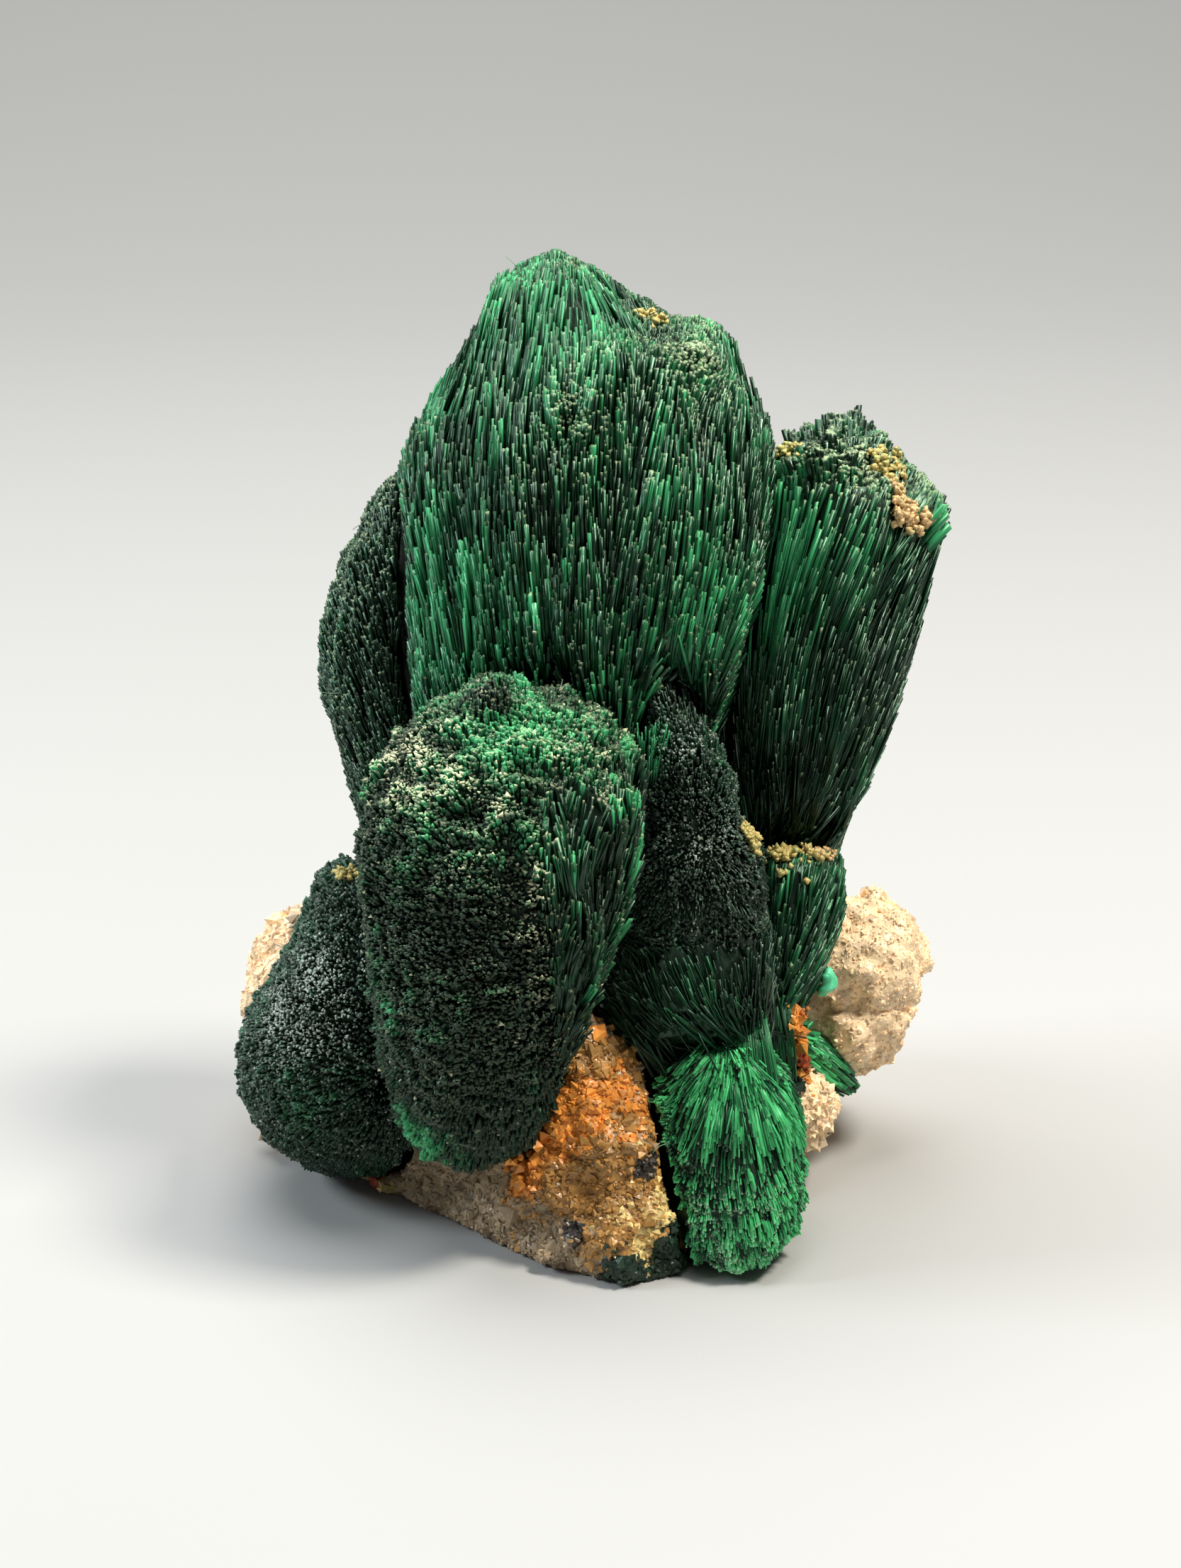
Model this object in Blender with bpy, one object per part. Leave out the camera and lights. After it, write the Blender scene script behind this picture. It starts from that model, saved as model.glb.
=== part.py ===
"""Fibrous malachite: eight sprays of radiating fibres, a blade-like tuft and a small bead on their matrix rock.

The specimen stands on the sawn underside of its rock. +X is its right, -Y is its front and +Z is up, with the
origin on the floor. Each spray is lofted from level ovals, each given by its height and its left, right, front
and back edges. Where two pieces meet, the one that lies in front keeps its shape and the other is cut back to a
narrow seam. The rock is a stack of outlines with four lumps joined on, cut level by the floor and socketed by
everything that grows on it.
"""

import math

import bmesh
import bpy

MM = 0.001

# The whole specimen is about 62 wide, 48 deep and 82 high, in millimetres. The seam is the gap between neighbours.
SEAM = 0.4
OVAL_SIDES = 20
OVAL_POWER = 2.3
FLOOR_WIDTH = 200.0
FLOOR_DEPTH = 20.0
SMOOTH_UNDER_DEGREES = 40

# Each spray's ovals, top to bottom, in millimetres: height, left edge, right edge, front edge, back edge.
TALL_SPRAY = (
    (82.0, -4.4, -2.4, 1.0, 4.5),
    (80.0, -6.8, 0.4, -1.5, 7.5),
    (76.5, -9.0, 5.5, -4.0, 11.0),
    (74.5, -10.3, 11.5, -5.5, 13.0),
    (71.5, -11.6, 13.0, -6.5, 14.5),
    (66.5, -15.2, 15.2, -7.5, 16.0),
    (61.5, -16.2, 15.4, -8.0, 16.5),
    (55.0, -15.7, 15.0, -8.5, 16.5),
    (47.0, -15.8, 12.8, -8.5, 16.0),
    (38.0, -15.0, 10.0, -7.5, 15.0),
    (24.0, -10.8, 7.5, -5.0, 12.5),
    (12.0, -6.6, 4.8, -2.0, 10.0),
    (4.0, -4.0, 3.0, 0.5, 8.0),
)
RIGHT_COLUMN_SPRAY = (
    (65.8, 20.4, 23.8, 6.5, 12.0),
    (64.4, 16.8, 25.2, 4.0, 15.0),
    (62.0, 15.8, 28.0, 2.0, 17.0),
    (59.4, 15.5, 30.4, 1.0, 18.5),
    (55.3, 15.0, 29.4, 0.4, 19.0),
    (49.6, 13.6, 28.6, 0.0, 19.0),
    (43.8, 12.4, 27.4, 0.0, 18.5),
    (36.8, 11.4, 25.2, 0.6, 17.5),
    (31.0, 12.0, 23.4, 2.5, 16.5),
    (24.0, 12.2, 20.6, 6.0, 15.5),
    (14.0, 12.0, 17.5, 8.0, 14.5),
)
BACK_LEFT_SPRAY = (
    (62.0, -17.4, -14.2, 7.0, 12.0),
    (57.8, -19.6, -12.0, 4.0, 15.0),
    (54.0, -21.8, -11.0, 3.0, 17.0),
    (48.5, -23.4, -10.0, 2.2, 18.5),
    (42.8, -23.8, -10.0, 2.0, 19.0),
    (36.5, -22.0, -10.0, 2.2, 18.5),
    (29.0, -20.0, -9.5, 3.0, 17.0),
    (19.0, -17.0, -9.0, 4.5, 15.0),
    (10.0, -14.0, -8.0, 6.0, 12.5),
)
FRONT_SPRAY = (
    (48.5, -10.9, -2.4, -16.0, -9.0),
    (46.9, -14.4, 1.0, -19.0, -6.5),
    (44.2, -16.5, 3.2, -21.3, -5.0),
    (40.5, -18.6, 4.4, -23.2, -4.2),
    (36.0, -19.1, 4.1, -24.0, -4.0),
    (31.0, -18.8, 3.0, -24.2, -4.0),
    (25.5, -18.4, 1.2, -24.0, -4.0),
    (20.5, -17.9, -0.8, -23.2, -4.0),
    (16.0, -17.3, -2.6, -22.0, -4.2),
    (12.0, -16.6, -3.3, -20.4, -5.0),
    (8.5, -14.6, -4.8, -17.4, -7.0),
)
LOWER_LEFT_SPRAY = (
    (29.0, -23.6, -18.4, -2.5, 4.0),
    (25.5, -24.8, -16.5, -7.0, 6.0),
    (20.0, -27.6, -15.0, -11.0, 8.0),
    (14.5, -30.9, -14.0, -13.0, 9.0),
    (10.0, -31.0, -13.4, -12.2, 9.0),
    (6.2, -29.8, -13.4, -9.6, 8.4),
    (3.2, -27.6, -14.2, -6.6, 7.0),
    (1.0, -24.4, -15.6, -3.6, 4.4),
)
MIDDLE_SPRAY = (
    (51.8, 3.3, 5.2, -3.6, -0.4),
    (48.2, 3.6, 6.8, -6.4, 0.4),
    (45.0, 4.2, 8.9, -8.4, 1.0),
    (42.0, 4.6, 10.5, -10.0, 1.5),
    (38.5, 4.4, 12.2, -11.0, 2.0),
    (35.0, 3.8, 12.8, -11.4, 2.2),
    (33.0, 3.4, 14.2, -12.2, 2.4),
    (29.0, 3.0, 14.9, -13.2, 2.4),
    (25.0, 2.0, 15.2, -13.2, 2.6),
    (21.0, -0.4, 15.6, -13.4, 2.8),
    (17.4, 0.6, 15.6, -13.2, 3.0),
    (13.6, 3.4, 15.4, -12.2, 3.0),
    (10.0, 6.0, 15.2, -9.6, 2.6),
    (6.0, 9.8, 14.8, -6.2, 2.0),
)
COLUMN_FOOT_SPRAY = (
    (30.0, 14.2, 21.8, -0.6, 6.5),
    (27.2, 14.2, 22.5, -1.8, 8.0),
    (23.0, 13.9, 22.0, -2.8, 8.6),
    (18.6, 13.6, 20.2, -3.4, 8.4),
    (14.9, 13.2, 18.4, -3.8, 7.6),
    (11.0, 13.0, 17.1, -3.8, 6.4),
    (7.0, 13.4, 16.4, -3.0, 4.8),
)
BRIGHT_FOOT_SPRAY = (
    (18.0, 8.2, 12.2, -11.0, -7.0),
    (15.8, 5.6, 15.2, -14.0, -4.6),
    (13.6, 4.5, 17.2, -16.2, -3.4),
    (10.6, 4.7, 18.1, -18.6, -3.0),
    (6.4, 5.6, 18.5, -20.8, -3.0),
    (2.6, 6.0, 18.0, -22.2, -4.0),
    (0.8, 7.6, 15.8, -21.4, -6.6),
)
BLADE_TUFT = (
    (14.0, 15.4, 17.0, 1.0, 3.0),
    (12.6, 15.0, 20.0, 0.2, 3.8),
    (10.4, 16.2, 22.5, 0.0, 4.0),
    (8.3, 19.6, 23.8, 0.4, 3.6),
    (6.9, 22.3, 24.1, 1.2, 2.8),
)

# Small rounded lumps, in millimetres: centre and half sizes along X, Y and Z.
FRONT_KNOB = ((-7.2, -12.4, 47.6), (2.2, 2.2, 2.8))
GREEN_BEAD = ((20.4, -0.6, 18.8), (1.3, 1.2, 1.2))

# The rock: its outline on the floor, counter-clockwise, then how far it swells or narrows about a centre with height.
ROCK_OUTLINE = (
    (3.0, -22.4),
    (7.5, -20.5),
    (13.0, -13.0),
    (18.4, -4.0),
    (19.6, 8.0),
    (18.0, 18.5),
    (6.0, 23.0),
    (-10.0, 24.0),
    (-22.0, 22.0),
    (-29.4, 15.0),
    (-29.4, 6.5),
    (-21.0, -1.0),
    (-12.5, -9.5),
    (-4.0, -18.5),
)
ROCK_CENTRE = (-12.0, 8.0)
ROCK_LEVELS = ((23.0, 0.34), (19.5, 0.62), (13.5, 0.78), (8.0, 0.9), (3.0, 0.98), (-6.0, 1.0))
ROCK_LUMPS = {
    "knob_top": ((24.9, 9.0, 17.6), (5.2, 6.8, 4.5)),
    "knob_base": ((23.4, 8.6, 12.4), (5.2, 6.8, 4.5)),
    "right_shoulder": ((15.0, 12.0, 11.0), (8.0, 8.5, 10.0)),
    "right_toe": ((17.0, -1.0, 7.2), (4.2, 5.0, 4.2)),
    "left_ledge": ((-25.2, 11.0, 13.0), (6.2, 7.0, 7.6)),
    "back_wall": ((-2.0, 13.8, 14.0), (22.5, 10.4, 19.0)),
}


def material(name, colour, roughness):
    """A plain non-metallic surface."""
    made = bpy.data.materials.new(name)
    made.use_nodes = True
    shader = made.node_tree.nodes["Principled BSDF"]
    shader.inputs["Base Color"].default_value = (*colour, 1.0)
    shader.inputs["Roughness"].default_value = roughness
    shader.inputs["Metallic"].default_value = 0.0
    return made


def new_object(name, bm, surface=None):
    """Closes the bmesh into a named object. With no surface it is a helper, left out of renders."""
    bmesh.ops.recalc_face_normals(bm, faces=bm.faces)
    mesh = bpy.data.meshes.new(name)
    bm.to_mesh(mesh)
    bm.free()
    made = bpy.data.objects.new(name, mesh)
    bpy.context.scene.collection.objects.link(made)
    if surface is None:
        made.hide_render = True
        made.display_type = "WIRE"
    else:
        mesh.materials.append(surface)
        mesh.shade_smooth()
        mesh.set_sharp_from_angle(angle=math.radians(SMOOTH_UNDER_DEGREES))
    return made


def loft(rings):
    """A closed bmesh through rings of points that run the same way round."""
    bm = bmesh.new()
    loops = []
    for ring in rings:
        points = [bm.verts.new(point) for point in ring]
        loops.append([bm.edges.new((points[k - 1], points[k])) for k in range(len(points))])
    for upper, lower in zip(loops, loops[1:]):
        bmesh.ops.bridge_loops(bm, edges=upper + lower)
    bmesh.ops.holes_fill(bm, edges=loops[0] + loops[-1], sides=0)
    bmesh.ops.triangulate(bm, faces=[face for face in bm.faces if len(face.verts) > 4])
    return bm


def oval(height, left, right, front, back):
    """Points round a level superellipse that touches the four edges."""
    points = []
    for k in range(OVAL_SIDES):
        angle = 2 * math.pi * k / OVAL_SIDES
        across = math.copysign(abs(math.cos(angle)) ** (2 / OVAL_POWER), math.cos(angle))
        along = math.copysign(abs(math.sin(angle)) ** (2 / OVAL_POWER), math.sin(angle))
        x = (left + right) / 2 + across * (right - left) / 2
        y = (front + back) / 2 + along * (back - front) / 2
        points.append((x * MM, y * MM, height * MM))
    return points


def ellipsoid(centre, half_sizes):
    """A rounded lump."""
    bm = bmesh.new()
    bmesh.ops.create_icosphere(bm, subdivisions=3, radius=1.0)
    bmesh.ops.scale(bm, vec=[half * MM for half in half_sizes], verts=bm.verts)
    bmesh.ops.translate(bm, vec=[value * MM for value in centre], verts=bm.verts)
    return bm


def rock_rings():
    """The floor outline, swollen or narrowed about the rock's centre at each level."""
    rings = []
    for height, grow in ROCK_LEVELS:
        ring = []
        for x, y in ROCK_OUTLINE:
            across = ROCK_CENTRE[0] + (x - ROCK_CENTRE[0]) * grow
            along = ROCK_CENTRE[1] + (y - ROCK_CENTRE[1]) * grow
            ring.append((across * MM, along * MM, height * MM))
        rings.append(ring)
    return rings


def floor_block():
    """Everything below the floor, which takes the rock's underside off flat."""
    bm = bmesh.new()
    bmesh.ops.create_cube(bm, size=1.0)
    bmesh.ops.scale(bm, vec=(FLOOR_WIDTH * MM, FLOOR_WIDTH * MM, FLOOR_DEPTH * MM), verts=bm.verts)
    bmesh.ops.translate(bm, vec=(0.0, 0.0, -FLOOR_DEPTH * MM / 2), verts=bm.verts)
    return bm


def boolean(piece, operation, other):
    """Joins the other object to the piece, or cuts it away."""
    modifier = piece.modifiers.new(f"{operation.lower()} {other.name}", "BOOLEAN")
    modifier.operation = operation
    modifier.object = other


def swollen(name, uncut):
    """A helper that grows the piece's uncut shape by the seam on every side."""
    helper = new_object(f"room for {name}", uncut)
    grow = helper.modifiers.new("seam", "DISPLACE")
    grow.strength = SEAM * MM
    grow.mid_level = 0.0
    return helper


def grown_shapes():
    """What grows on the rock, foremost first: name, maker of its bmesh, surface."""
    dark_green = material("dark malachite fibres", (0.010, 0.065, 0.028), 0.35)
    mid_green = material("malachite fibres", (0.016, 0.120, 0.045), 0.35)
    bright_green = material("bright malachite fibres", (0.030, 0.300, 0.110), 0.35)
    return (
        ("front_spray", FRONT_SPRAY, mid_green),
        ("bright_foot_spray", BRIGHT_FOOT_SPRAY, bright_green),
        ("middle_spray", MIDDLE_SPRAY, dark_green),
        ("column_foot_spray", COLUMN_FOOT_SPRAY, dark_green),
        ("lower_left_spray", LOWER_LEFT_SPRAY, mid_green),
        ("tall_spray", TALL_SPRAY, mid_green),
        ("right_column_spray", RIGHT_COLUMN_SPRAY, dark_green),
        ("back_left_spray", BACK_LEFT_SPRAY, dark_green),
        ("blade_tuft", BLADE_TUFT, bright_green),
    )


def main():
    for old in list(bpy.data.objects):
        bpy.data.objects.remove(old)

    in_front = []
    for name, stations, surface in grown_shapes():
        rings = [oval(*station) for station in stations]
        piece = new_object(name, loft(rings), surface)
        if name == "front_spray":
            boolean(piece, "UNION", new_object("front knob", ellipsoid(*FRONT_KNOB)))
        for other in in_front:
            boolean(piece, "DIFFERENCE", other)
        in_front.append(swollen(name, loft(rings)))

    bead_green = material("bead", (0.060, 0.480, 0.200), 0.4)
    bead = new_object("green_bead", ellipsoid(*GREEN_BEAD), bead_green)
    for other in in_front:
        boolean(bead, "DIFFERENCE", other)
    in_front.append(swollen("green_bead", ellipsoid(*GREEN_BEAD)))

    rock = new_object("matrix_rock", loft(rock_rings()), material("quartz matrix", (0.55, 0.36, 0.20), 0.6))
    for name, lump in ROCK_LUMPS.items():
        boolean(rock, "UNION", new_object(name, ellipsoid(*lump)))
    boolean(rock, "DIFFERENCE", new_object("below the floor", floor_block()))
    for other in in_front:
        boolean(rock, "DIFFERENCE", other)


main()
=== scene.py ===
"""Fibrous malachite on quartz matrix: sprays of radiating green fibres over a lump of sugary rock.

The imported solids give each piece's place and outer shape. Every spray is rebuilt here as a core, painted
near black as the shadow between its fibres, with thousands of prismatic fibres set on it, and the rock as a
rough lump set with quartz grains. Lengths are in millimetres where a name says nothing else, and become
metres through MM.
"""

from dataclasses import dataclass
from itertools import product
from typing import Callable

import bpy
import numpy as np
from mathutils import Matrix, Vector
from mathutils.bvhtree import BVHTree


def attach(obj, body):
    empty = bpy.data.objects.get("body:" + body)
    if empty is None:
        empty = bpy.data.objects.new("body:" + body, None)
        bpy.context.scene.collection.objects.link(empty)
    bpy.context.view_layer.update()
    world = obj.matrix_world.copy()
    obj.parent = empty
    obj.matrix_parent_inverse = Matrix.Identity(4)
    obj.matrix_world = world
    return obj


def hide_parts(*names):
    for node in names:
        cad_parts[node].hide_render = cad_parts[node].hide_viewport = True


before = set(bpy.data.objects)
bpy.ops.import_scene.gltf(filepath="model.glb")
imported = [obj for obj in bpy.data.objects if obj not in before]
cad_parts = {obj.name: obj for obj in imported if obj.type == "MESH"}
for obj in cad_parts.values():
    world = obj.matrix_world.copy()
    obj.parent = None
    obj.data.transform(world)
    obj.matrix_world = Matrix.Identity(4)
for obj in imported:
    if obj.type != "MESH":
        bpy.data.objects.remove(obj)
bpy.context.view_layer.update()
MM = 0.001

# The studio: a pale paper sweep that runs from the floor up into a wall, with one large soft light overhead,
# a smaller warm one at the right that makes the fibre ends glint, and a weak cool one at the left.
CAMERA_AIM = np.array((0.0, 0.0, 36.7))
CAMERA_DISTANCE = 262.0
CAMERA_ELEVATION = 18.0
LENS_MM = 70.0
SENSOR_MM = 36.0
SWEEP_HALF_WIDTH = 3600.0
SWEEP_FRONT = -2600.0
SWEEP_BACK = 450.0
SWEEP_RADIUS = 900.0
SWEEP_HEIGHT = 1800.0
SWEEP_STEPS = 24


def new_material(name, **sockets):
    """A Principled material with these constant socket values, with its node tree and its shader node."""
    made = bpy.data.materials.new(name)
    made.use_nodes = True
    shader = made.node_tree.nodes["Principled BSDF"]
    for socket, value in sockets.items():
        shader.inputs[socket.replace("_", " ")].default_value = value
    return made, made.node_tree, shader


def new_mesh(name, points, face_groups, uv_groups=None):
    """A mesh object from points in mm and arrays of faces, each (faces, corners), with a UV map if given."""
    mesh = bpy.data.meshes.new(name)
    corners = np.concatenate([group.ravel() for group in face_groups])
    sizes = np.concatenate([np.full(len(group), group.shape[1]) for group in face_groups])
    starts = np.concatenate([[0], np.cumsum(sizes)[:-1]])
    mesh.vertices.add(len(points))
    mesh.vertices.foreach_set("co", (np.asarray(points) * MM).astype(np.float32).ravel())
    mesh.loops.add(len(corners))
    mesh.loops.foreach_set("vertex_index", corners.astype(np.int32))
    mesh.polygons.add(len(sizes))
    mesh.polygons.foreach_set("loop_start", starts.astype(np.int32))
    if uv_groups is not None:
        layer = mesh.uv_layers.new(name="OFBake")
        places = np.concatenate([group.reshape(-1, 2) for group in uv_groups])
        layer.uv.foreach_set("vector", places.astype(np.float32).ravel())
    mesh.update(calc_edges=True)
    mesh.validate()
    made = bpy.data.objects.new(name, mesh)
    bpy.context.scene.collection.objects.link(made)
    return made


def soft_light(name, place, aim, size, watts, colour=(1.0, 1.0, 1.0)):
    """A square area light in mm that faces its aim."""
    lamp = bpy.data.lights.new(name, "AREA")
    lamp.size = size * MM
    lamp.energy = watts
    lamp.color = colour
    made = bpy.data.objects.new(name, lamp)
    made.location = np.array(place) * MM
    way = Vector(aim) - Vector(place)
    made.rotation_euler = way.to_track_quat("-Z", "Y").to_euler()
    bpy.context.scene.collection.objects.link(made)


# The sweep's section is a floor, a quarter circle and a wall, carried across from one side to the other.
bend = np.radians(np.linspace(0, 90, SWEEP_STEPS))
wall_y = SWEEP_BACK + SWEEP_RADIUS
sweep_y = np.concatenate([[SWEEP_FRONT], SWEEP_BACK + SWEEP_RADIUS * np.sin(bend), [wall_y]])
sweep_z = np.concatenate([[0.0], SWEEP_RADIUS * (1 - np.cos(bend)), [SWEEP_HEIGHT]])
sweep_x = np.tile((-SWEEP_HALF_WIDTH, SWEEP_HALF_WIDTH), len(sweep_y))
sweep_points = np.stack([sweep_x, np.repeat(sweep_y, 2), np.repeat(sweep_z, 2)], 1)
left = 2 * np.arange(len(sweep_y) - 1)
sweep = new_mesh("studio_sweep", sweep_points, [np.stack([left, left + 1, left + 3, left + 2], 1)])
sweep.data.shade_smooth()
paper, _, _ = new_material("pale paper", Base_Color=(0.41, 0.41, 0.40, 1.0), Roughness=0.9)
sweep.data.materials.append(paper)

turn = np.radians(CAMERA_ELEVATION)
camera = bpy.data.objects.new("camera", bpy.data.cameras.new("camera"))
camera.data.lens = LENS_MM
camera.data.sensor_width = SENSOR_MM
camera.data.clip_start = 0.01
camera.location = (CAMERA_AIM + CAMERA_DISTANCE * np.array((0, -np.cos(turn), np.sin(turn)))) * MM
camera.rotation_euler = (np.pi / 2 - turn, 0, 0)
bpy.context.scene.collection.objects.link(camera)
bpy.context.scene.camera = camera

soft_light("overhead", (-150.0, 250.0, 1100.0), (0, 0, 40), 900.0, 15.0)
soft_light("glint", (250.0, -70.0, 500.0), (0, 0, 40), 120.0, 3.4, (1.0, 0.95, 0.86))
soft_light("cool_rim", (-420.0, -40.0, 300.0), (0, 0, 35), 130.0, 1.6, (0.84, 0.93, 1.0))
world = bpy.data.worlds.new("studio")
bpy.context.scene.world = world
world.use_nodes = True
world.node_tree.nodes["Background"].inputs["Color"].default_value = (0.97, 0.98, 1.0, 1.0)
world.node_tree.nodes["Background"].inputs["Strength"].default_value = 0.12
bpy.context.scene.view_settings.view_transform = "Standard"

# The tall spray: the central fan of upright malachite fibres, emerald, with near black gaps between them
# where the core, painted as shadow, shows.
# The columns end at all heights over its face, stepped bundle by bundle, and many ends are pale, partly as
# pale ends and partly as painted highlights and glints.
# Here too is how every spray is made: a core painted near black as shadow, bundles of prisms, crusts, hairs
# and their finish.
SHADES = 24
TINTS = 8
HAIR_TINT = 3
PALEST_TINT = 4
IRON_TINT = 5
YELLOW_TINT = 6
PEACH_TINT = 7
CAP_START = 0.84
CELL_MARGIN = 0.04
# shade of the core: near black, painted as the shadow seen between the fibres
CORE_PAINTED_SHADOW = 0.05
SPLAY = 0.008  # random turn of each fibre
PROUD = 0.1  # height of the fibre ends above the skin
LEAST_AGREEMENT = 0.86  # cosine past which a fibre is left out, as turned too far to be rooted
COMBED = 0.66  # cosine between fan and skin's normal up to which fibres are laid down in full
UNCOMBED = 0.92  # cosine from which they aren't laid down at all
LEVELLING = 4.0  # pull that turns a flat prism's wide way level
MOTTLE = 0.65  # weight of chance, by fibre and by bundle, in a fibre's shade
FAN_REACH = 100.0  # radius of the ball on which the flutes' sizes are measured
RIPPLE_SQUASH = (0.45, 0.45, 1.5)  # makes ripples wide and low
HAIR_WIDTH = 0.075
HAIR_SHADE = 0.8
HAIR_SIDES = 3
HAIR_STEPS = 7
FLOOR_GAP = 0.02
DARK_GREEN = (0.0010, 0.0060, 0.0028)
DEEP_GREEN = (0.0030, 0.0300, 0.0105)
EMERALD = (0.0110, 0.1250, 0.0430)
BRIGHT_EMERALD = (0.0420, 0.3600, 0.1350)
CRUST_IRON = (0.75, 0.17, 0.03)
CRUST_YELLOW = (0.84, 0.62, 0.22)
CRUST_PEACH = (0.95, 0.58, 0.28)


@dataclass(kw_only=True)
class Habit:
    """How the fibres of one spray grow. Lengths are in mm, and shares and tilts run from 0 to 1."""

    root: tuple  # the place that lying fibres come from
    heart: tuple = None  # the place that standing fibres come from, where it isn't the root
    upward: float = 0.0  # least rise of the fan for its run
    lean: tuple = None  # a direction to bend to, and the heights between which the bend sets in
    lie: Callable  # gives, for places, the share by which fibres lie along the skin
    lie_tilt: float = 0.14  # how far lying fibres point out of the skin
    least_tilt: float = 0.12  # how far any fibre does at least
    standing: tuple  # width, length and bare length of a fibre that stands on end
    lying: tuple = None  # the same three of a fibre that lies, where they differ
    cover: float  # how many times over the fibres cover the skin
    exposed: float = 0.5  # height above the skin up to which a fibre counts as bare
    clear: float = 0.8  # distance kept from every other solid
    voxel: float = 0.9  # size of the skin's quads
    rounds: int = 6  # rounds of smoothing of the skin
    flute: float = 0.35  # height of the flutes that run with the fibres
    flute_size: float = 9.0
    ribs: float = 0.0  # height that the flutes gain where fibres lie
    ripple: float = 0.0  # height of the ripples across the flutes, where fibres stand
    ripple_size: float = 2.4
    knobs: tuple = ()  # centre, radius and height of each bump that is pushed up
    core_depth: float = 0.7  # depth under the skin of the core, painted near black as shadow
    bundles: float = 0.1  # bundles for each fibre
    stretch: float = 5.0  # length of a bundle for its width
    bundle_splay: float = 0.014  # random turn of a bundle
    bundle_step: float = 0.8  # random drop of a bundle's ends
    bundle_lift: float = 0.12  # random rise of a bundle off the skin
    end_step: float = 0.2  # random drop of each fibre's end
    standing_step: float = 0.12  # share of the drops that standing fibres keep
    deepest: float = 0.28  # depth under the skin that no end passes
    sunk: float = 0.6  # depth under the skin of the fibres' lower ends
    uneven: float = 0.28  # spread of the widths
    crest_painted_light: float = 0.22  # painted light on the flutes' crests and painted shade in their grooves: how much lighter the crests' fibres are
    sides: int = 3
    slant: float = 0.7  # slant of the cut ends, for half a width
    flat: float = 1.0  # widening across, and thinning the other way

    def sizes(self, lie):
        """Width, length and bare length of fibres that lie by these shares."""
        lying = self.lying or self.standing
        return [stand + (flat - stand) * lie for stand, flat in zip(self.standing, lying)]


def hills(points, size, seed):
    """Smooth random heights about -1 to 1: a sum of sine waves in random directions, each about size long."""
    layers = 24
    rng = np.random.default_rng(seed)
    ways = rng.normal(size=(layers, 3))
    reach = np.linalg.norm(ways, axis=1, keepdims=True)
    ways *= (2 * np.pi / size) * rng.uniform(0.6, 1.5, (layers, 1)) / reach
    return np.sin(points @ ways.T + rng.uniform(0, 2 * np.pi, layers)).sum(1) / np.sqrt(layers / 2) / 1.6


def unit(vectors):
    """The vectors at length one."""
    return vectors / (np.linalg.norm(vectors, axis=-1, keepdims=True) + 1e-12)


def step(values, start, end):
    """Smooth rise from 0 at start to 1 at end; start may be the higher."""
    t = np.clip((values - start) / (end - start), 0, 1)
    return t * t * (3 - 2 * t)


def glow(places, spots):
    """Sum of strength * exp(-(distance / radius)^2) over spots given as centre, radius and strength."""
    total = np.zeros(len(places))
    for centre, radius, strength in spots:
        total += strength * np.exp(-((places - np.array(centre)) ** 2).sum(1) / radius**2)
    return total


def read_mesh(mesh):
    """The mesh's points in metres, and the point at each corner of its faces in turn."""
    points = np.empty(len(mesh.vertices) * 3, np.float32)
    mesh.vertices.foreach_get("co", points)
    corners = np.empty(len(mesh.loops), np.int32)
    mesh.loops.foreach_get("vertex_index", corners)
    return points.reshape(-1, 3), corners


def triangle_corners(name):
    """The corners of the triangles of a node's solid, in mm, three for each."""
    points, corners = read_mesh(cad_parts[name].data)
    return points[corners] / MM


def normals_of(points, quads):
    """Each point's normal: the mean of its quads' normals, the cross products of their diagonals."""
    a, b, c, d = (points[quads[:, k]] for k in range(4))
    faces = np.cross(c - a, d - b)
    total = np.zeros_like(points)
    for k in range(4):
        np.add.at(total, quads[:, k], faces)
    return unit(total)


def skin_of(name, voxel, rounds):
    """The node's solid, merged, remeshed on a voxel grid and smoothed: points in mm, quads and normals."""
    points, index = np.unique(np.round(triangle_corners(name), 3), axis=0, return_inverse=True)
    helper = new_mesh("skin_helper", points, [index.reshape(-1, 3)])
    even = helper.modifiers.new("even", "REMESH")
    even.mode = "VOXEL"
    even.voxel_size = voxel * MM
    smooth = helper.modifiers.new("smooth", "SMOOTH")
    smooth.factor = 0.5
    smooth.iterations = rounds
    graph = bpy.context.evaluated_depsgraph_get()
    points, corners = read_mesh(bpy.data.meshes.new_from_object(helper.evaluated_get(graph)))
    bpy.data.objects.remove(helper)
    points = points.astype(float) / MM
    quads = corners.reshape(-1, 4)
    return points, quads, normals_of(points, quads)


def in_the_open(name, points, clear):
    """1 where a point is further than clear from every other solid, else 0."""
    others = np.concatenate([triangle_corners(other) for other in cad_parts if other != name])
    tree = BVHTree.FromPolygons(others.tolist(), np.arange(len(others)).reshape(-1, 3).tolist())
    near = [tree.find_nearest(point, clear)[0] is not None for point in points.tolist()]
    return 1.0 - np.array(near, float)


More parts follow.
